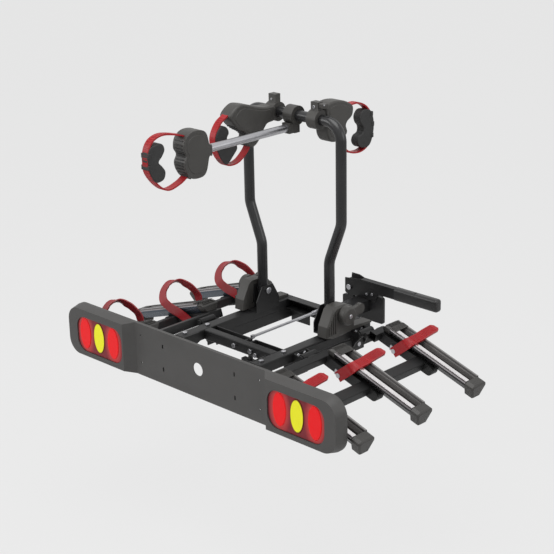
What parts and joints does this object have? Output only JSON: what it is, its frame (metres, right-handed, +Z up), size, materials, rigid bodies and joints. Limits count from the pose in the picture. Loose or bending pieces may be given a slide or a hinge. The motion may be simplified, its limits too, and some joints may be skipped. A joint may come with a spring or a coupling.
{
  "type": "hitch bike rack",
  "caption": "Tow ball bicycle rack with folding wheel rail wings, a hinged arch with strap holders and a rear light board.",
  "frame": {"origin": "centre of the tow ball that the coupling sits on", "axes": "+Y forward towards the car, +Z up, +X to the right seen from behind"},
  "size_m": [1.1346, 0.9076, 0.771],
  "materials": {
    "frame_black": "satin powder coat",
    "arch_black": "satin powder coat",
    "board_grey": "fine grained moulding",
    "cover_grey": "fine grained moulding",
    "cap_grey": "moulded",
    "rail_metal": "polished extrusion",
    "lens_red": "moulded optic, glossy",
    "lens_amber": "moulded optic, glossy",
    "strap_red": "flexible ladder strap",
    "pad_rubber": "moulded rubber",
    "bright_steel": "zinc plated",
    "grip_black": "ribbed moulding"
  },
  "bodies": {
    "coupling": {"coupling_head": "frame_black", "coupling_neck": "frame_black", "coupling_pins": "bright_steel"},
    "jaw": {"ball_jaw": "frame_black"},
    "lever": {"coupling_lever": "frame_black", "lever_grip": "grip_black"},
    "platform": {"side_member_right": "frame_black", "side_member_left": "frame_black", "front_crossmember": "frame_black", "rear_crossmember": "frame_black", "light_board": "board_grey", "lamp_lens_right": "lens_red", "lamp_lens_left": "lens_red", "turn_lamp_right": "lens_amber", "turn_lamp_left": "lens_amber", "board_brackets": "frame_black", "foot_brackets": "frame_black", "foot_cover_right": "cover_grey", "foot_cover_left": "cover_grey", "hinge_bracket_right": "frame_black", "hinge_bracket_left": "frame_black", "pivot_bolts": "bright_steel", "frame_bolts": "bright_steel", "release_spring": "bright_steel"},
    "knob_right": {"foot_knob_right": "cover_grey"},
    "knob_left": {"foot_knob_left": "cover_grey"},
    "arch": {"arch_tube": "arch_black"},
    "outer_grip": {"outer_clamp": "cover_grey", "outer_arm": "bright_steel", "outer_holder": "cover_grey", "outer_loop": "strap_red", "outer_pad": "pad_rubber"},
    "middle_grip": {"middle_clamp": "cover_grey", "middle_holder": "cover_grey", "middle_loop": "strap_red", "middle_pad": "pad_rubber"},
    "inner_grip": {"inner_clamp": "cover_grey", "inner_holder": "cover_grey", "inner_loop": "strap_red", "inner_pad": "pad_rubber"},
    "release": {"release_rod": "bright_steel"},
    "crank": {"release_crank": "frame_black"},
    "wing_right": {"wing_frame_right": "frame_black", "rail_caps_right": "cap_grey", "strap_anchors_right": "cap_grey", "wheel_rail_front_right": "rail_metal", "wheel_rail_middle_right": "rail_metal", "wheel_rail_rear_right": "rail_metal", "wheel_strap_front_right": "strap_red", "wheel_strap_middle_right": "strap_red", "wheel_strap_rear_right": "strap_red"},
    "wing_left": {"wing_frame_left": "frame_black", "rail_caps_left": "cap_grey", "strap_anchors_left": "cap_grey", "wheel_rail_front_left": "rail_metal", "wheel_rail_middle_left": "rail_metal", "wheel_rail_rear_left": "rail_metal", "wheel_strap_front_left": "strap_red", "wheel_strap_middle_left": "strap_red", "wheel_strap_rear_left": "strap_red"}
  },
  "joints": [
    {"name": "platform_tilt", "type": "hinge", "parent": "coupling", "child": "platform", "pos_m": [0, -0.169, 0.022], "axis": [1, 0, 0], "range_deg": [0, 35]},
    {"name": "lever_swing", "type": "hinge", "parent": "coupling", "child": "lever", "pos_m": [-0.053, -0.0385, 0.064], "axis": [0, -1, 0], "range_deg": [0, 75]},
    {"name": "jaw_swing", "type": "hinge", "parent": "coupling", "child": "jaw", "pos_m": [0, -0.0326, 0.024], "axis": [-1, 0, 0], "range_deg": [0, 5]},
    {"name": "arch_fold", "type": "hinge", "parent": "platform", "child": "arch", "pos_m": [0, -0.3395, 0.118], "axis": [1, 0, 0], "range_deg": [0, 80]},
    {"name": "knob_turn_right", "type": "hinge", "parent": "platform", "child": "knob_right", "pos_m": [0.2, -0.3395, 0.118], "axis": [1, 0, 0], "continuous": true},
    {"name": "knob_turn_left", "type": "hinge", "parent": "platform", "child": "knob_left", "pos_m": [-0.2, -0.3395, 0.118], "axis": [1, 0, 0], "continuous": true},
    {"name": "wing_fold_right", "type": "hinge", "parent": "platform", "child": "wing_right", "pos_m": [0.202, -0.383, 0.048], "axis": [0, -1, 0], "range_deg": [0, 75]},
    {"name": "wing_fold_left", "type": "hinge", "parent": "platform", "child": "wing_left", "pos_m": [-0.202, -0.383, 0.048], "axis": [0, 1, 0], "range_deg": [0, 75]},
    {"name": "outer_grip_turn", "type": "hinge", "parent": "arch", "child": "outer_grip", "pos_m": [0.003, -0.3395, 0.658], "axis": [1, 0, 0], "range_deg": [-40, 15]},
    {"name": "middle_grip_turn", "type": "hinge", "parent": "arch", "child": "middle_grip", "pos_m": [-0.07, -0.3395, 0.658], "axis": [1, 0, 0], "range_deg": [-60, 15]},
    {"name": "inner_grip_turn", "type": "hinge", "parent": "arch", "child": "inner_grip", "pos_m": [0.09, -0.3395, 0.658], "axis": [1, 0, 0], "range_deg": [-30, 40]},
    {"name": "crank_swing", "type": "hinge", "parent": "platform", "child": "crank", "pos_m": [0.015, -0.539, 0.043], "axis": [1, 0, 0], "range_deg": [0, 12], "stiffness_Nm_per_rad": 1.5},
    {"name": "release_slide", "type": "slide", "parent": "platform", "child": "release", "axis": [0, -1, 0], "range_m": [0, 0.0032], "stiffness_N_per_m": 200}
  ],
  "couplings": [
    {"joint": "jaw_swing", "follows": "lever_swing", "ratio": 0.0666},
    {"joint": "release_slide", "follows": "crank_swing", "m_per_rad": 0.015}
  ]
}
